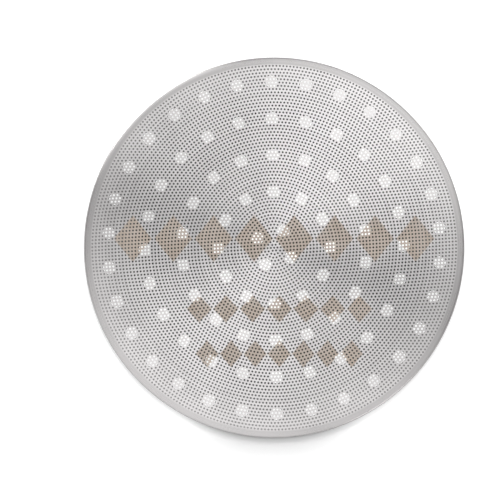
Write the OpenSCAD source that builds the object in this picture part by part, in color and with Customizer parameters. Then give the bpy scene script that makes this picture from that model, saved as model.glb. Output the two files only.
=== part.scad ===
// Espresso puck screen: a thin round steel plate that lies on the coffee in a filter basket.
// Its face has fine holes on close rings. Wider bores, on rings of their own, run up from
// its back to the floor of the fine holes, which open wherever a bore lies under them.
// The back lies on the plane z = 0 and the axis of the plate is the Z axis.

/* [Plate] */
// Diameter of the plate
plate_d = 58.5; // [49:0.1:62]
// Thickness of the plate
plate_t = 0.8; // [0.7:0.05:2]
// Radius of the rounded edge at the face
face_edge_r = 0.3; // [0.05:0.01:0.35]
// Radius of the rounded edge at the back
back_edge_r = 0.2; // [0.05:0.01:0.3]

/* [Fine holes] */
// Diameter of a fine hole
fine_d = 0.3; // [0.2:0.01:0.36]
// Depth of the fine holes below the face
fine_depth = 0.2; // [0.1:0.01:0.4]
// Distance from one ring of fine holes to the next
fine_pitch = 0.508; // [0.45:0.001:0.8]
// Turn of the fine holes about the axis, in degrees
fine_turn = 4.2; // [-30:0.1:30]
// Least distance from the edge of the plate to the centre of a fine hole
fine_inset = 1.2; // [0.8:0.05:3]

/* [Bores] */
// Diameter of a bore
bore_d = 1.9; // [1.2:0.05:2.6]
// Number of bores in the innermost ring
inner_bores = 4; // [3:1:5]
// Radius of the innermost ring of bores
inner_ring_r = 2.95; // [2.6:0.05:3.5]
// Turn of the innermost ring, in degrees
inner_turn = 61; // [0:1:90]
// Distance from one ring of bores to the next
bore_pitch = 5.65; // [4.5:0.05:5.9]
// Turn of the other rings, in degrees
bore_turn = 0.9; // [-30:0.1:30]
// Least distance from the edge of the plate to the centre of a bore
bore_inset = 3.2; // [2.6:0.05:5]

/* [Hidden] */
steel = [0.72, 0.71, 0.71];
// Each ring of either pattern has this many holes more than the ring inside it
ring_step = 6;
// Least land between a fine hole and the wall of the bore that it opens into
bore_land = 0.02;
// How far a cut runs past the surface that it opens through
past = 0.1;
plate_r = plate_d / 2;
bore_depth = plate_t - fine_depth;
fine_rings = floor((plate_r - fine_inset) / fine_pitch);
bore_rings = 1 + floor((plate_r - bore_inset - inner_ring_r) / bore_pitch);
// A fine hole opens wholly into a bore when their axes are no further apart than this
reach = (bore_d - fine_d) / 2 - bore_land;

function on_ring(radius, angle) = radius * [cos(angle), sin(angle)];

// Every second ring of bores is turned by half of the angle between its bores
function bores_in(ring) = ring == 1 ? inner_bores : ring_step * ring;
function first_bore(ring) =
    ring == 1 ? inner_turn : bore_turn + (ring % 2) * 180 / bores_in(ring);

bores = [
    for (ring = [1:bore_rings])
        for (i = [0:bores_in(ring) - 1])
            on_ring(
                inner_ring_r + (ring - 1) * bore_pitch,
                first_bore(ring) + i * 360 / bores_in(ring)
            )
];

function fine_hole(ring, i) =
    on_ring(ring * fine_pitch, fine_turn + i * 360 / (ring_step * ring));

// Centres of the fine holes that open wholly into the bore centred on b
function fine_over(b) = [
    for (ring = [1:fine_rings])
        if (abs(ring * fine_pitch - norm(b)) <= reach)
            for (i = [0:ring_step * ring - 1])
                if (norm(fine_hole(ring, i) - b) <= reach)
                    fine_hole(ring, i)
];

// Half of the plate's section: a flat strip whose two outer corners are rounded
module half_section() {
    square([plate_r - max(face_edge_r, back_edge_r), plate_t]);
    square([plate_r - back_edge_r, plate_t - face_edge_r]);
    translate([0, back_edge_r])
        square([plate_r - face_edge_r, plate_t - back_edge_r]);
    translate([0, back_edge_r])
        square([plate_r, plate_t - face_edge_r - back_edge_r]);
    translate([plate_r - face_edge_r, plate_t - face_edge_r])
        circle(face_edge_r, $fn = 48);
    translate([plate_r - back_edge_r, back_edge_r])
        circle(back_edge_r, $fn = 48);
}

module blank() {
    rotate_extrude($fn = 240)
        half_section();
}

module bore_cuts() {
    translate([0, 0, -past])
        linear_extrude(bore_depth + past)
            for (b = bores)
                translate(b)
                    circle(d = bore_d, $fn = 48);
}

module fine_cuts() {
    translate([0, 0, bore_depth - past])
        linear_extrude(fine_depth + 2 * past)
            for (b = bores)
                for (p = fine_over(b))
                    translate(p)
                        circle(d = fine_d, $fn = 24);
}

module screen() {
    color(steel)
        difference() {
            blank();
            bore_cuts();
            fine_cuts();
        }
}

screen();
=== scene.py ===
"""Espresso puck screen: the finish and fine detail of the plate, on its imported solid."""

import math

import bpy
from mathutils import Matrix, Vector


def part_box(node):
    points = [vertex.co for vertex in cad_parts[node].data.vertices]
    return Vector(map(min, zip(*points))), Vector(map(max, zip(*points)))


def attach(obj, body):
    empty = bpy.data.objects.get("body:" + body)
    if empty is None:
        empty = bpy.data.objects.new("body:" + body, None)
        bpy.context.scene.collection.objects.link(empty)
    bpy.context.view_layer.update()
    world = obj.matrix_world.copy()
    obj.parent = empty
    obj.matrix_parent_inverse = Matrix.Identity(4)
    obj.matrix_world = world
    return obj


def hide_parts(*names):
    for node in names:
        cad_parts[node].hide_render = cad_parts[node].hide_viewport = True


bl_info = {
    "name": "Puck Screen",
    "version": (1, 0, 0),
    "blender": (4, 5, 0),
    "location": "View3D > Sidebar > Puck Screen",
    "description": "Builds a perforated espresso puck screen with a turned steel finish",
    "category": "Add Mesh",
}

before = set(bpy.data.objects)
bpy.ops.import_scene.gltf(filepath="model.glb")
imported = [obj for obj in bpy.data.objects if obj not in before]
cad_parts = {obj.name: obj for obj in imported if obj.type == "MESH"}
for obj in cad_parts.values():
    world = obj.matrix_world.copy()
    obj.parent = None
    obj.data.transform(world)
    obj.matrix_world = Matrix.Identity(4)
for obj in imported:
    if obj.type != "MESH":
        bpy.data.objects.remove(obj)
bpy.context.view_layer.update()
CAD_LOW, CAD_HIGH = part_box("screen")
MM = 0.001
SIXTH = math.pi / 3

SMOOTH_ANGLE = math.radians(35)
# Heights that differ by less than this are the same
SAME_HEIGHT = 1e-7
# Slight turn that keeps a point on a spoke of the lattice from counting as just before it
SPOKE_SLACK = 1e-6
# A face is level when its normal's Z is past this, up or down
LEVEL = 0.9
# Share of the seat's radius past which a face of the plate belongs to the rim
RIM_SHARE = 0.9999
# Material slots of a dressed piece
TURNED, PIT_SHADE, BORED = 0, 1, 2
# Material slot of the faces that are deleted to open the fine holes
LEFT_OPEN = 1

# Widths of the patterns in the steel, and the depths of its relief
GROOVE_WIDTH = 0.09 * MM
GROOVE_DEPTH = 0.004 * MM
RING_WIDTH = 0.7 * MM
PATCH_WIDTH = 9 * MM
MARK_WEAR_WIDTH = 1.6 * MM
PIT_GRAIN = 0.05 * MM
PIT_GRAIN_DEPTH = 0.005 * MM
BORE_GRAIN = 0.12 * MM
BORE_GRAIN_DEPTH = 0.008 * MM

# Radii between which the tone goes over to the painted shade of the land, the rounded edge and the
# wall
LAND_BEGINS = (28.0 * MM, 28.3 * MM)
EDGE_BEGINS = (28.6 * MM, 28.95 * MM)
WALL_BEGINS = (29.13 * MM, 29.22 * MM)
# Radii between which the fine holes grow lighter with painted light, and the radius inside which
# painted shade makes them darker
PAINTED_LIGHT_PITS = (19 * MM, 28 * MM)
PAINTED_SHADE_PITS = 16 * MM
# Radius inside which the grooves shine less
QUIET_MIDDLE = 9 * MM
# Azimuths, in degrees, of the side toward which the rim and the fine holes are painted lighter, as
# if lit, and of the painted highlight on the rim's edge
PAINTED_LIGHT_SIDE = 240
PAINTED_HIGHLIGHT_SIDE = 130

# One row of the mark for each tuple: middle x and y, height, pitch and count of its lozenges
MARK_ROWS = (
    (0.0 * MM, 1.4 * MM, 7.2 * MM, 6.2 * MM, 8),
    (0.8 * MM, -9.4 * MM, 4.2 * MM, 4.1 * MM, 7),
    (0.8 * MM, -16.3 * MM, 4.2 * MM, 3.7 * MM, 7),
)
MARK_EDGE = 0.05
MARK_FILL = 0.94
# Share of the thickness above which the steel is marked
MARK_HEIGHT = 0.97

# Share of the plate's radius inside which the floor has a painted glow, so that it shows white
# through the open holes though it lies in the plate's shade
UNDER_PLATE = 0.97
# Azimuths where the painted glow of the floor under the open holes is dimmer and brighter
DIM_UNDER = 80
BRIGHT_UNDER = -10
# Radii between which the floor's shadow is let go under a painted glow, and the azimuth where the
# shadow is strongest; away from it the glow hides the shadow
SHADOW_ENDS = (31 * MM, 36 * MM)
SHADOW_SIDE = 270
# Strength of the painted glow that whitens the floor and hides its shadow
PAINTED_FLOOR_GLOW = 0.35
# Colours of the floor, and the darker one under the plate beneath its painted glow
FLOOR_TONE = (0.75, 0.75, 0.75, 1.0)
UNDER_TONE = (0.25, 0.25, 0.25, 1.0)
WHITE = (1.0, 1.0, 1.0, 1.0)

LAMP_DISTANCE = 0.9
# One lamp for each tuple: name, azimuth, elevation, side, power, and whether it is seen in
# dull faces and in shiny ones
LAMPS = (
    ("key", 50, 62, 0.6, 1.55, True, True),
    ("fill", 238, 62, 0.6, 0.35, True, True),
    ("edge", 130, 28, 0.45, 3.0, False, True),
    ("glint", 305, 42, 0.25, 0.6, False, True),
    ("back", 90, 27, 0.6, 9.5, True, False),
)

# Azimuths of the sky's dark wedges, of its faint pale ones and of its brighter low side
DARK_SKY = -7
PALE_SKY = 130
LOW_SKY = 145


class PlateSettings(bpy.types.PropertyGroup):
    """Sizes of the plate, its rim and its bores"""

    radius: bpy.props.FloatProperty(
        name="Radius", description="Outer radius of the plate",
        default=(CAD_HIGH[0] - CAD_LOW[0]) / 2, unit="LENGTH", precision=5)
    thickness: bpy.props.FloatProperty(
        name="Thickness", description="Thickness of the plate",
        default=CAD_HIGH[2] - CAD_LOW[2], unit="LENGTH", precision=5)
    face_edge: bpy.props.FloatProperty(
        name="Face edge", description="Radius of the rounded edge at the face",
        default=0.3 * MM, unit="LENGTH", precision=5)
    back_edge: bpy.props.FloatProperty(
        name="Back edge", description="Radius of the rounded edge at the back",
        default=0.2 * MM, unit="LENGTH", precision=5)
    edge_steps: bpy.props.IntProperty(
        name="Edge steps", description="Steps in each rounded edge", default=6, min=2)
    bore_radius: bpy.props.FloatProperty(
        name="Bore radius", description="Radius of a bore",
        default=0.95 * MM, unit="LENGTH", precision=5)
    bore_break: bpy.props.FloatProperty(
        name="Bore edge", description="Width of the broken edge where a bore meets the back",
        default=0.07 * MM, unit="LENGTH", precision=5)
    bore_sides: bpy.props.IntProperty(
        name="Bore sides", description="Sides of a bore's wall", default=32, min=8)
    bore_rings: bpy.props.IntProperty(
        name="Rings of bores", description="Number of rings of bores", default=5, min=1)
    inner_bores: bpy.props.IntProperty(
        name="Inner bores", description="Bores in the innermost ring", default=4, min=1)
    inner_ring: bpy.props.FloatProperty(
        name="Inner ring", description="Radius of the innermost ring of bores",
        default=2.95 * MM, unit="LENGTH", precision=5)
    inner_turn: bpy.props.FloatProperty(
        name="Inner turn", description="Turn of the innermost ring of bores",
        default=math.radians(61), subtype="ANGLE")
    bore_pitch: bpy.props.FloatProperty(
        name="Bore pitch", description="Distance from one ring of bores to the next",
        default=5.65 * MM, unit="LENGTH", precision=5)
    bore_turn: bpy.props.FloatProperty(
        name="Bore turn", description="Turn of the other rings of bores",
        default=math.radians(0.9), subtype="ANGLE")


class FineSettings(bpy.types.PropertyGroup):
    """Sizes of the fine holes in the face"""

    hole_radius: bpy.props.FloatProperty(
        name="Hole radius", description="Radius of a fine hole",
        default=0.15 * MM, unit="LENGTH", precision=5)
    depth: bpy.props.FloatProperty(
        name="Depth", description="Depth of the fine holes",
        default=0.2 * MM, unit="LENGTH", precision=5)
    pitch: bpy.props.FloatProperty(
        name="Pitch", description="Distance from one ring of fine holes to the next",
        default=0.508 * MM, unit="LENGTH", precision=6)
    turn: bpy.props.FloatProperty(
        name="Turn", description="Turn of the pattern of fine holes",
        default=math.radians(4.2), subtype="ANGLE")
    rings: bpy.props.IntProperty(
        name="Rings", description="Rings of fine holes round the centre hole", default=55, min=3)
    inner_band: bpy.props.IntProperty(
        name="Inner band", description="Last ring of the inner band of the face", default=31)
    middle_band: bpy.props.IntProperty(
        name="Middle band", description="Last ring of the middle band of the face", default=44)


class FinishSettings(bpy.types.PropertyGroup):
    """Colours of the steel, the shares of painted shade on its rim, and the pattern marked on it"""

    steel: bpy.props.FloatVectorProperty(
        name="Turned steel", description="Colour of the turned faces",
        default=(0.72, 0.7, 0.7), subtype="COLOR", size=3, min=0, max=1)
    # Near black: painted shade that makes the fine holes look deep
    etched: bpy.props.FloatVectorProperty(
        name="Etched steel", description="Colour inside the etched holes",
        default=(0.044, 0.043, 0.043), subtype="COLOR", size=3, min=0, max=1)
    # Darker than the turned steel: painted shade inside the bores
    bored: bpy.props.FloatVectorProperty(
        name="Bored steel", description="Colour inside the bores",
        default=(0.36, 0.35, 0.35), subtype="COLOR", size=3, min=0, max=1)
    # Painted shade on the plain land round the holes
    rim: bpy.props.FloatProperty(
        name="Rim", description="Share of the steel's colour on the plain land round the holes",
        default=0.76, min=0, max=1)
    # Painted shade on the rounded edge
    edge: bpy.props.FloatProperty(
        name="Edge", description="Further share that is left on the rounded edge",
        default=0.88, min=0, max=1)
    # Painted shade on the wall of the rim, in place of the dark surroundings it would reflect
    wall: bpy.props.FloatProperty(
        name="Wall", description="Further share that is left on the wall of the rim",
        default=0.75, min=0, max=1)
    mark: bpy.props.FloatVectorProperty(
        name="Mark", description="Share of the steel's colour that is left in the heat mark",
        default=(0.66, 0.585, 0.505), subtype="COLOR", size=3, min=0, max=1)


class StageSettings(bpy.types.PropertyGroup):
    """Camera, floor and light"""

    view_width: bpy.props.FloatProperty(
        name="View width", description="Width of floor that the camera sees",
        default=76.95 * MM, unit="LENGTH", precision=4)
    view_height: bpy.props.FloatProperty(
        name="Camera height", description="Height of the camera above the floor",
        default=0.45, unit="LENGTH")
    view_x: bpy.props.FloatProperty(
        name="View X", description="Place of the middle of the view",
        default=-3.71 * MM, unit="LENGTH", precision=5)
    view_y: bpy.props.FloatProperty(
        name="View Y", description="Place of the middle of the view",
        default=-0.35 * MM, unit="LENGTH", precision=5)
    floor_size: bpy.props.FloatProperty(
        name="Floor", description="Side of the square floor", default=3.0, unit="LENGTH")


def settings():
    """The settings of the current scene."""
    scene = bpy.context.scene
    return scene.puck_plate, scene.puck_fine, scene.puck_finish, scene.puck_stage


def deselect():
    bpy.ops.object.select_all(action="DESELECT")


def pick(piece):
    """Makes a piece the only selected object, and the active one."""
    deselect()
    piece.select_set(True)
    bpy.context.view_layer.objects.active = piece


def edit(select_mode):
    """Enters edit mode on the active object, with (vertices, edges, faces) as the select mode."""
    bpy.context.tool_settings.mesh_select_mode = select_mode
    bpy.ops.object.mode_set(mode="EDIT")


def done():
    bpy.ops.object.mode_set(mode="OBJECT")


def select_in(mesh, vertices=(), edges=(), faces=()):
    """Selects just these elements of a mesh while its object is in object mode."""
    for group in (mesh.vertices, mesh.edges, mesh.polygons):
        group.foreach_set("select", [False] * len(group))
    for element in (*vertices, *edges, *faces):
        element.select = True


def rename(piece, name):
    piece.name = name
    piece.data.name = name


def apply_modifier(piece, kind, **values):
    """Adds a modifier to a piece, sets it and applies it."""
    pick(piece)
    modifier = piece.modifiers.new(kind, kind)
    for key, value in values.items():
        setattr(modifier, key, value)
    bpy.ops.object.modifier_apply(modifier=modifier.name)


class Nodes:
    """Short calls that lay out one node tree."""

    def __init__(self, tree):
        self.tree = tree
        tree.nodes.clear()

    def add(self, kind, inputs=None, **attributes):
        node = self.tree.nodes.new(kind)
        for key, value in attributes.items():
            setattr(node, key, value)
        for key, value in (inputs or {}).items():
            if isinstance(value, bpy.types.NodeSocket):
                self.tree.links.new(value, node.inputs[key])
            else:
                node.inputs[key].default_value = value
        return node

    def math(self, operation, *values):
        return self.add("ShaderNodeMath", dict(enumerate(values)), operation=operation).outputs[0]

    def vector(self, operation, *values, out=0):
        return self.add(
            "ShaderNodeVectorMath", dict(enumerate(values)), operation=operation).outputs[out]

    def remap(self, value, low, high, to_low=0.0, to_high=1.0, smooth=False):
        inputs = {"Value": value, "From Min": low, "From Max": high,
                  "To Min": to_low, "To Max": to_high}
        kind = "SMOOTHSTEP" if smooth else "LINEAR"
        return self.add("ShaderNodeMapRange", inputs, interpolation_type=kind).outputs[0]

    def vary(self, noise, to_low, to_high):
        """Noise, most of which lies between 0.3 and 0.7, spread over this range."""
        return self.remap(noise, 0.3, 0.7, to_low, to_high)

    def mix(self, factor, first, second):
        inputs = {0: factor, 6: first, 7: second}
        return self.add("ShaderNodeMix", inputs, data_type="RGBA").outputs[2]

    def scaled(self, colour, tone):
        """A colour times a tone."""
        inputs = {0: colour[:], "Scale": tone}
        return self.add("ShaderNodeVectorMath", inputs, operation="SCALE").outputs[0]

    def split(self, place):
        """The X, Y and Z of a place, and its vector from the Z axis."""
        parts = self.add("ShaderNodeSeparateXYZ", {0: place}).outputs
        return parts, self.add("ShaderNodeCombineXYZ", {0: parts[0], 1: parts[1]}).outputs[0]

    def toward(self, outward, azimuth):
        """From 1 where a level direction points to an azimuth in degrees, to -1 opposite it."""
        angle = math.radians(azimuth)
        aim = (math.cos(angle), math.sin(angle), 0.0)
        return self.vector("DOT_PRODUCT", outward, aim, out=1)

    def ring_noise(self, radius, width):
        """Noise that changes with the radius alone, in rings about this wide."""
        inputs = {"W": self.math("DIVIDE", radius, width), "Scale": 1.0, "Detail": 2.0}
        return self.add("ShaderNodeTexNoise", inputs, noise_dimensions="1D").outputs[0]

    def cloud(self, place, width):
        """Soft patches about this wide."""
        inputs = {"Vector": place, "Scale": 1 / width, "Detail": 3.0}
        return self.add("ShaderNodeTexNoise", inputs).outputs[0]

    def metal(self, colour, roughness, relief, strength, depth, **more):
        """Ends the tree in bare metal with a slight relief."""
        bump = self.add("ShaderNodeBump", {
            "Strength": strength, "Distance": depth, "Height": relief}).outputs[0]
        shader = self.add("ShaderNodeBsdfPrincipled", {
            "Base Color": colour, "Metallic": 1.0, "Roughness": roughness, "Normal": bump, **more})
        self.add("ShaderNodeOutputMaterial", {0: shader.outputs[0]})


def new_material(name):
    """A new material, and the empty node tree in it."""
    material = bpy.data.materials.new(name)
    material.use_nodes = True
    return material, Nodes(material.node_tree)


def lozenge_rows(nodes, x, y):
    """A mask that is 1 inside plain lozenges set in straight rows."""
    mask = None
    for middle_x, middle_y, height, pitch, count in MARK_ROWS:
        across = nodes.math("SUBTRACT", x, middle_x)
        first = pitch / 2 if count % 2 == 0 else 0.0
        wrapped = nodes.math(
            "WRAP", nodes.math("SUBTRACT", across, first), pitch / 2, -pitch / 2)
        part_x = nodes.math("DIVIDE", nodes.math("ABSOLUTE", wrapped), MARK_FILL * pitch / 2)
        above = nodes.math("SUBTRACT", y, middle_y)
        part_y = nodes.math("DIVIDE", nodes.math("ABSOLUTE", above), height / 2)
        inside = nodes.remap(
            nodes.math("ADD", part_x, part_y), 1 + MARK_EDGE, 1 - MARK_EDGE, smooth=True)
        in_row = nodes.math("LESS_THAN", nodes.math("ABSOLUTE", across), pitch * count / 2)
        row = nodes.math("MULTIPLY", inside, in_row)
        mask = row if mask is None else nodes.math("MAXIMUM", mask, row)
    return mask


def rim_painted_shade(nodes, finish, radius, outward):
    """Painted light and shade of the face by its radius: 1 inside, and darker on the land, the edge
    and the wall.
    """
    # Painted light: the land and the edge are lighter toward one side and darker opposite it
    side = nodes.toward(outward, PAINTED_LIGHT_SIDE)
    land = nodes.remap(side, -1.0, 1.0, finish.rim - 0.08, finish.rim + 0.06)
    land = nodes.remap(radius, *LAND_BEGINS, 1.0, land, smooth=True)
    edge = nodes.remap(side, -1.0, 1.0, finish.edge - 0.1, finish.edge + 0.1)
    # Painted highlight on a stretch of the rounded edge
    painted_highlight = nodes.remap(nodes.toward(outward, PAINTED_HIGHLIGHT_SIDE), 0.85, 1.0, 0.0, 0.5)
    edge = nodes.math("ADD", edge, painted_highlight)
    edge = nodes.remap(radius, *EDGE_BEGINS, 1.0, edge, smooth=True)
    # Painted shade: the wall is darker, standing in for a dark reflection
    wall = nodes.remap(radius, *WALL_BEGINS, 1.0, finish.wall, smooth=True)
    return nodes.math("MULTIPLY", nodes.math("MULTIPLY", land, edge), wall)


def turned_steel(finish, thickness):
    """Steel with a fine circular turned finish, and the heat mark on its upper face."""
    material, nodes = new_material("turned_steel")
    place = nodes.add("ShaderNodeTexCoord").outputs["Object"]
    (x, y, z), flat = nodes.split(place)
    radius = nodes.vector("LENGTH", flat, out=1)
    outward = nodes.vector("NORMALIZE", flat)
    grooves = nodes.ring_noise(radius, GROOVE_WIDTH)
    rings = nodes.ring_noise(radius, RING_WIDTH)
    patches = nodes.cloud(place, PATCH_WIDTH)

    tone = nodes.math(
        "ADD", nodes.vary(rings, -0.035, 0.035), nodes.vary(patches, -0.03, 0.03))
    # The rim's painted light and shade scale the steel's colour
    tone = nodes.math(
        "MULTIPLY", nodes.math("ADD", tone, 1.0), rim_painted_shade(nodes, finish, radius, outward))
    steel = nodes.scaled(finish.steel, tone)

    upper = nodes.math("GREATER_THAN", z, MARK_HEIGHT * thickness)
    marked = nodes.math("MULTIPLY", lozenge_rows(nodes, x, y), upper)
    worn = nodes.remap(nodes.cloud(place, MARK_WEAR_WIDTH), 0.25, 0.6, 0.8, 1.0)
    marked = nodes.math("MULTIPLY", marked, worn)
    tinted = nodes.vector("MULTIPLY", steel, finish.mark[:])
    colour = nodes.mix(marked, steel, tinted)

    roughness = nodes.math(
        "ADD", nodes.vary(patches, 0.27, 0.33), nodes.vary(grooves, -0.03, 0.03))
    roughness = nodes.math("ADD", roughness, nodes.math("MULTIPLY", marked, 0.14))
    shine = nodes.math(
        "MULTIPLY", nodes.remap(radius, 0.0, QUIET_MIDDLE, 0.5, 0.75),
        nodes.remap(marked, 0.0, 1.0, 1.0, 0.2))
    nodes.metal(colour, roughness, grooves, 0.25, GROOVE_DEPTH,
                Anisotropic=shine, Tangent=outward)
    return material


def pit_steel_painted_shade(finish):
    """Steel inside the fine holes: grainy and near black, a painted shade that makes them look
    deep, with painted light toward the rim and one side.
    """
    material, nodes = new_material("pit_steel_painted_shade")
    place = nodes.add("ShaderNodeTexCoord").outputs["Object"]
    _, flat = nodes.split(place)
    radius = nodes.vector("LENGTH", flat, out=1)
    outward = nodes.vector("NORMALIZE", flat)
    grain = nodes.cloud(place, PIT_GRAIN)
    # Painted light: the holes grow lighter toward the rim and toward one side
    outer = nodes.math("POWER", nodes.remap(radius, *PAINTED_LIGHT_PITS), 1.6)
    side = nodes.remap(nodes.toward(outward, PAINTED_LIGHT_SIDE), -1.0, 1.0, 0.45, 1.3)
    outer = nodes.math("MULTIPLY", outer, side)
    # Painted shade: the holes grow darker toward the middle
    inner = nodes.remap(radius, 0.0, PAINTED_SHADE_PITS, 0.4, 1.0)
    paler = nodes.math("ADD", nodes.math("MULTIPLY", outer, 8.0), inner)
    tone = nodes.math("MULTIPLY", nodes.vary(grain, 0.85, 1.15), paler)
    nodes.metal(nodes.scaled(finish.etched, tone), nodes.vary(grain, 0.5, 0.62),
                grain, 0.3, PIT_GRAIN_DEPTH)
    return material


def bored_steel(finish):
    """The steel inside the bores, darker than the turned steel: painted shade in the bores."""
    material, nodes = new_material("bored_steel")
    place = nodes.add("ShaderNodeTexCoord").outputs["Object"]
    grain = nodes.cloud(place, BORE_GRAIN)
    colour = nodes.scaled(finish.bored, nodes.vary(grain, 0.9, 1.1))
    nodes.metal(colour, 0.45, grain, 0.3, BORE_GRAIN_DEPTH)
    return material


def dress(piece, finish_of):
    """Gives each face of a piece the steel that finish_of names for it, and shades it smooth."""
    plate, _, finish, _ = settings()
    have = bpy.data.materials
    mesh = piece.data
    mesh.materials.clear()
    mesh.materials.append(have.get("turned_steel") or turned_steel(finish, plate.thickness))
    mesh.materials.append(have.get("pit_steel_painted_shade") or pit_steel_painted_shade(finish))
    mesh.materials.append(have.get("bored_steel") or bored_steel(finish))
    for p in mesh.polygons:
        p.material_index = finish_of(p)
    pick(piece)
    bpy.ops.object.shade_smooth_by_angle(angle=SMOOTH_ANGLE)


def seat_radius(fine):
    """Radius of the seat in the plate that the fine face fills."""
    return (fine.rings + 1) * fine.pitch


def bore_centres(plate):
    """Middle of each bore. Every second ring is turned by half of the angle between its bores."""
    centres = []
    for ring in range(1, plate.bore_rings + 1):
        count = plate.inner_bores if ring == 1 else 6 * ring
        start = plate.inner_turn if ring == 1 else plate.bore_turn + (ring % 2) * math.pi / count
        radius = plate.inner_ring + (ring - 1) * plate.bore_pitch
        for i in range(count):
            angle = start + 2 * math.pi * i / count
            centres.append((radius * math.cos(angle), radius * math.sin(angle)))
    return centres


class PUCK_OT_plate(bpy.types.Operator):
    """Models the plate: its rounded rim, the seat of its fine face and its bores"""

    bl_idname = "puck.plate"
    bl_label = "Plate"

    def execute(self, context):
        plate, fine, _, _ = settings()
        piece = self.blank(plate, fine)
        self.cut_bores(piece, plate, fine)
        floor = plate.thickness - fine.depth

        def finish_of(p):
            if p.center.xy.length > RIM_SHARE * seat_radius(fine):
                return TURNED
            if p.normal.z > LEVEL:
                return PIT_SHADE
            return TURNED if p.normal.z < -LEVEL and p.center.z < floor / 2 else BORED

        dress(piece, finish_of)
        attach(piece, "root")
        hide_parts("screen")
        return {"FINISHED"}

    @staticmethod
    def blank(plate, fine):
        """A disc with rounded edges, sunk inside its rim by the depth of the fine holes."""
        deselect()
        bpy.ops.mesh.primitive_cylinder_add(
            vertices=6 * (fine.rings + 1), radius=plate.radius, depth=plate.thickness,
            location=(0, 0, plate.thickness / 2), rotation=(0, 0, fine.turn))
        piece = bpy.context.object
        rename(piece, "screen_plate")
        bpy.ops.object.transform_apply(location=True, rotation=True, scale=True)
        mesh = piece.data
        for height, edge in ((plate.thickness, plate.face_edge), (0.0, plate.back_edge)):
            ring = [e for e in mesh.edges
                    if all(abs(mesh.vertices[v].co.z - height) < SAME_HEIGHT for v in e.vertices)]
            select_in(mesh, edges=ring)
            edit((False, True, False))
            bpy.ops.mesh.bevel(
                offset=edge, segments=plate.edge_steps, profile=0.5, affect="EDGES")
            done()
        top = [p for p in mesh.polygons
               if len(p.vertices) > 4 and p.center.z > plate.thickness / 2]
        select_in(mesh, faces=top)
        edit((False, False, True))
        bpy.ops.mesh.inset(
            thickness=plate.radius - plate.face_edge - seat_radius(fine), depth=0)
        bpy.ops.mesh.extrude_region_move(
            TRANSFORM_OT_translate={"value": (0, 0, -fine.depth)})
        done()
        return piece

    @staticmethod
    def cutter(plate, fine):
        """One bore's cutter: a round pin that flares where it leaves the back."""
        top = plate.thickness - fine.depth / 2
        deselect()
        bpy.ops.mesh.primitive_cylinder_add(
            vertices=plate.bore_sides, radius=plate.bore_radius, depth=top - plate.bore_break,
            location=(0, 0, (top + plate.bore_break) / 2))
        pin = bpy.context.object
        bpy.ops.object.transform_apply(location=True, rotation=True, scale=True)
        mesh = pin.data
        select_in(mesh, faces=[p for p in mesh.polygons if p.normal.z < -LEVEL])
        edit((False, False, True))
        wide = 1 + 2 * plate.bore_break / plate.bore_radius
        bpy.ops.mesh.extrude_region_move(
            TRANSFORM_OT_translate={"value": (0, 0, -2 * plate.bore_break)})
        bpy.ops.transform.resize(value=(wide, wide, 1))
        done()
        return pin

    def cut_bores(self, piece, plate, fine):
        """Cuts all bores with one boolean."""
        first = self.cutter(plate, fine)
        pins = []
        for x, y in bore_centres(plate):
            pin = first.copy()
            pin.data = first.data.copy()
            pin.location = (x, y, 0)
            bpy.context.scene.collection.objects.link(pin)
            pins.append(pin)
        bpy.data.objects.remove(first)
        deselect()
        for pin in pins:
            pin.select_set(True)
        bpy.context.view_layer.objects.active = pins[0]
        bpy.ops.object.join()
        cutters = bpy.context.object
        apply_modifier(piece, "BOOLEAN", operation="DIFFERENCE", solver="EXACT", object=cutters)
        bpy.data.objects.remove(cutters)


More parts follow.
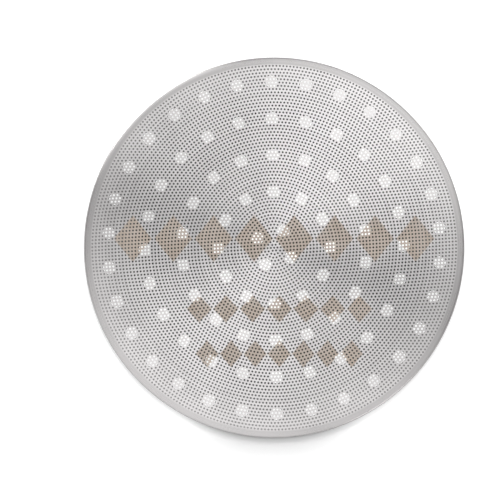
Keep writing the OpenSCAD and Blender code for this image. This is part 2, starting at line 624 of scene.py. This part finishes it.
class PUCK_OT_fine_face(bpy.types.Operator):
    """Models the fine face: a ring pattern of thousands of small holes, in three bands"""

    bl_idname = "puck.fine_face"
    bl_label = "Fine face"

    def execute(self, context):
        plate, fine, _, _ = settings()
        sheet = self.lattice(plate, fine)
        self.open_holes(sheet, fine)

        def finish_of(p):
            if p.normal.z > LEVEL:
                return TURNED
            return BORED if p.normal.z < -LEVEL else PIT_SHADE

        for piece in self.bands(sheet, fine):
            dress(piece, finish_of)
            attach(piece, "root")
            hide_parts("screen")
        return {"FINISHED"}

    @staticmethod
    def lattice(plate, fine):
        """A disc of triangles whose vertices become the fine holes, still six-sided and closed."""
        deselect()
        bpy.ops.mesh.primitive_circle_add(
            vertices=6, radius=seat_radius(fine), fill_type="TRIFAN",
            location=(0, 0, plate.thickness))
        sheet = bpy.context.object
        bpy.ops.object.transform_apply(location=True, rotation=True, scale=True)
        edit((False, False, True))
        bpy.ops.mesh.select_all(action="SELECT")
        bpy.ops.mesh.subdivide(number_cuts=fine.rings)
        done()
        mesh = sheet.data
        holes = []
        for vertex in mesh.vertices:
            ring, angle = PUCK_OT_fine_face.on_hexagon(vertex.co, fine.pitch)
            radius = ring * fine.pitch
            vertex.co.x = radius * math.cos(angle + fine.turn)
            vertex.co.y = radius * math.sin(angle + fine.turn)
            if ring <= fine.rings:
                holes.append(vertex)
        mesh.materials.append(None)
        mesh.materials.append(None)
        select_in(mesh, vertices=holes)
        edit((True, False, False))
        bpy.ops.mesh.bevel(
            affect="VERTICES", offset=fine.hole_radius, offset_type="OFFSET",
            segments=1, material=LEFT_OPEN)
        done()
        return sheet

    @staticmethod
    def on_hexagon(place, pitch):
        """The hexagonal ring that a lattice point lies on, and its angle once the ring is round."""
        distance = math.hypot(place.x, place.y) / pitch
        if distance < 0.5:
            return 0, 0.0
        angle = math.atan2(place.y, place.x) - math.pi / 2 + SPOKE_SLACK
        angle %= 2 * math.pi
        side = int(angle // SIXTH)
        within = angle - side * SIXTH
        along = distance * math.sin(within) / math.sin(SIXTH)
        ring = round(distance * math.cos(within) + along / 2)
        return ring, SIXTH * (side + round(along) / ring)

    @staticmethod
    def open_holes(sheet, fine):
        """Rounds each hexagonal hole to twelve sides and opens it."""
        mesh = sheet.data
        pits = [p for p in mesh.polygons if p.material_index == LEFT_OPEN]
        wall = {key for p in pits for key in p.edge_keys}
        select_in(mesh, edges=[e for e in mesh.edges if e.key in wall])
        edit((False, True, False))
        bpy.ops.mesh.subdivide(number_cuts=1, ngon=True)
        done()
        pits = [p for p in mesh.polygons if p.material_index == LEFT_OPEN]
        for p in pits:
            middle = PUCK_OT_fine_face.hole_middle(p.center, fine)
            for v in p.vertices:
                spoke = (mesh.vertices[v].co - middle).normalized()
                mesh.vertices[v].co = middle + spoke * fine.hole_radius
        select_in(mesh, faces=pits)
        edit((False, False, True))
        bpy.ops.mesh.delete(type="ONLY_FACE")
        done()

    @staticmethod
    def hole_middle(near, fine):
        """The true middle of the fine hole that lies nearest to a point."""
        ring = round(near.xy.length / fine.pitch)
        if ring == 0:
            return Vector((0, 0, near.z))
        step = SIXTH / ring
        angle = fine.turn + step * round((math.atan2(near.y, near.x) - fine.turn) / step)
        radius = ring * fine.pitch
        return Vector((radius * math.cos(angle), radius * math.sin(angle), near.z))

    @staticmethod
    def bands(sheet, fine):
        """Parts the sheet along two rings of holes, and gives each band its depth."""
        names = ("fine_face_outer", "fine_face_middle", "fine_face_inner")
        limits = (fine.middle_band * fine.pitch, fine.inner_band * fine.pitch, 0.0)
        pieces = []
        for name, limit in zip(names, limits):
            mesh = sheet.data
            band = [p for p in mesh.polygons if p.center.xy.length > limit]
            if len(band) < len(mesh.polygons):
                select_in(mesh, faces=band)
                pick(sheet)
                edit((False, False, True))
                bpy.ops.mesh.separate(type="SELECTED")
                done()
                piece = next(o for o in bpy.context.selected_objects if o is not sheet)
            else:
                piece = sheet
            rename(piece, name)
            pieces.append(piece)
        for piece in pieces:
            apply_modifier(piece, "SOLIDIFY", thickness=fine.depth, offset=-1.0)
        return pieces


class PUCK_OT_stage(bpy.types.Operator):
    """Sets the floor, the lights, the world and the camera that looks straight down"""

    bl_idname = "puck.stage"
    bl_label = "Stage"

    def execute(self, context):
        plate, _, _, stage = settings()
        self.camera(stage)
        self.floor(plate, stage)
        self.lights()
        self.world()
        context.scene.view_settings.view_transform = "Standard"
        return {"FINISHED"}

    @staticmethod
    def camera(stage):
        data = bpy.data.cameras.new("camera")
        data.sensor_width = 36.0
        data.lens = data.sensor_width * stage.view_height / stage.view_width
        data.clip_start = 0.01
        camera = bpy.data.objects.new("camera", data)
        camera.location = (stage.view_x, stage.view_y, stage.view_height)
        bpy.context.scene.collection.objects.link(camera)
        bpy.context.scene.camera = camera

    @staticmethod
    def floor(plate, stage):
        """A white floor with a painted glow: it keeps the plate's shadow only near one side, and
        shows pale through the open holes.
        """
        deselect()
        bpy.ops.mesh.primitive_plane_add(size=stage.floor_size, location=(0, 0, 0))
        floor = bpy.context.object
        rename(floor, "floor")
        material, nodes = new_material("white_floor")
        place = nodes.add("ShaderNodeTexCoord").outputs["Object"]
        _, flat = nodes.split(place)
        radius = nodes.vector("LENGTH", flat, out=1)
        outward = nodes.vector("NORMALIZE", flat)
        under = nodes.math("LESS_THAN", radius, UNDER_PLATE * plate.radius)
        # Painted glow that hides the shadow, except near the plate on one side
        near = nodes.remap(radius, *SHADOW_ENDS, 1.0, 0.0, smooth=True)
        below = nodes.remap(nodes.toward(outward, SHADOW_SIDE), 0.85, 1.0, smooth=True)
        kept = nodes.math("MULTIPLY", below, near)
        shadow_hiding_glow = nodes.remap(kept, 0.0, 1.0, PAINTED_FLOOR_GLOW, 0.0)
        # Painted glow under the plate: the open holes show pale though the floor there is in shade,
        # dimmer toward one side and brighter toward another
        through = nodes.math(
            "ADD", nodes.remap(nodes.toward(outward, DIM_UNDER), 0.0, 1.0, 0.95, 0.82),
            nodes.remap(nodes.toward(outward, BRIGHT_UNDER), 0.8, 1.0, 0.0, 0.15))
        painted_glow = nodes.math("MAXIMUM", shadow_hiding_glow, nodes.math("MULTIPLY", under, through))
        path = nodes.add("ShaderNodeLightPath").outputs
        seen = nodes.math("MAXIMUM", path["Is Camera Ray"], path["Is Glossy Ray"])
        seen = nodes.math("MAXIMUM", seen, path["Is Transmission Ray"])
        glow = nodes.add("ShaderNodeEmission", {
            "Color": WHITE, "Strength": nodes.math("MULTIPLY", seen, painted_glow)})
        matt = nodes.add("ShaderNodeBsdfDiffuse", {
            "Color": nodes.mix(under, FLOOR_TONE, UNDER_TONE)})
        both = nodes.add("ShaderNodeAddShader", {0: glow.outputs[0], 1: matt.outputs[0]})
        nodes.add("ShaderNodeOutputMaterial", {0: both.outputs[0]})
        floor.data.materials.append(material)

    @staticmethod
    def lights():
        """Soft lamps: two that light all, two for the rounded edge, and one for the shadow."""
        for name, azimuth, elevation, size, power, lights, mirrored in LAMPS:
            data = bpy.data.lights.new(name, "AREA")
            data.shape = "SQUARE"
            data.size = size
            data.energy = power
            lamp = bpy.data.objects.new(name, data)
            a, e = math.radians(azimuth), math.radians(elevation)
            away = Vector((math.cos(a) * math.cos(e), math.sin(a) * math.cos(e), math.sin(e)))
            lamp.location = away * LAMP_DISTANCE
            lamp.rotation_euler = away.to_track_quat("Z", "Y").to_euler()
            lamp.visible_diffuse = lights
            lamp.visible_glossy = mirrored
            bpy.context.scene.collection.objects.link(lamp)

    @staticmethod
    def world():
        """A pale studio that is dimmer to the left and the right, and white to the camera."""
        world = bpy.data.worlds.new("studio")
        bpy.context.scene.world = world
        world.use_nodes = True
        nodes = Nodes(world.node_tree)
        way = nodes.add("ShaderNodeTexCoord").outputs["Generated"]
        (_, _, up), flat = nodes.split(way)
        outward = nodes.vector("NORMALIZE", flat)
        across = nodes.math("ABSOLUTE", nodes.toward(outward, DARK_SKY))
        dark = nodes.remap(across, 0.85, 1.0, 0.84, 0.34, smooth=True)
        across = nodes.math("ABSOLUTE", nodes.toward(outward, PALE_SKY))
        pale = nodes.remap(across, 0.8, 1.0, 0.0, 0.03, smooth=True)
        high = nodes.math("ADD", dark, pale)
        low = nodes.remap(nodes.toward(outward, LOW_SKY), -1.0, 1.0, 0.5, 0.95)
        horizon = nodes.remap(up, 0.08, 0.4, 0.55, 1.0, smooth=True)
        low = nodes.math("MULTIPLY", low, horizon)
        rise = nodes.remap(up, 0.35, 0.75, smooth=True)
        sky = nodes.add("ShaderNodeMix", {0: rise, 2: low, 3: high}, data_type="FLOAT").outputs[0]
        camera = nodes.add("ShaderNodeLightPath").outputs["Is Camera Ray"]
        glow = nodes.add("ShaderNodeBackground", {
            "Color": WHITE, "Strength": nodes.math("MAXIMUM", camera, sky)})
        nodes.add("ShaderNodeOutputWorld", {0: glow.outputs[0]})


class PUCK_PT_panel(bpy.types.Panel):
    """Lists the steps that build the puck screen"""

    bl_label = "Puck Screen"
    bl_space_type = "VIEW_3D"
    bl_region_type = "UI"
    bl_category = "Puck Screen"

    def draw(self, context):
        for step in STEPS:
            self.layout.operator(step.bl_idname)
        for group in settings():
            column = self.layout.column()
            for name in group.bl_rna.properties.keys():
                if name not in ("name", "rna_type"):
                    column.prop(group, name)


GROUPS = {
    "puck_plate": PlateSettings,
    "puck_fine": FineSettings,
    "puck_finish": FinishSettings,
    "puck_stage": StageSettings,
}
STEPS = (PUCK_OT_stage, PUCK_OT_plate, PUCK_OT_fine_face)


def register():
    for group in (*GROUPS.values(), *STEPS, PUCK_PT_panel):
        bpy.utils.register_class(group)
    for name, group in GROUPS.items():
        setattr(bpy.types.Scene, name, bpy.props.PointerProperty(type=group))


def unregister():
    for name in GROUPS:
        delattr(bpy.types.Scene, name)
    for group in (PUCK_PT_panel, *reversed(STEPS), *GROUPS.values()):
        bpy.utils.unregister_class(group)


def main():
    register()
    bpy.ops.puck.stage()
    bpy.ops.puck.plate()
    bpy.ops.puck.fine_face()


if __name__ == "__main__":
    main()
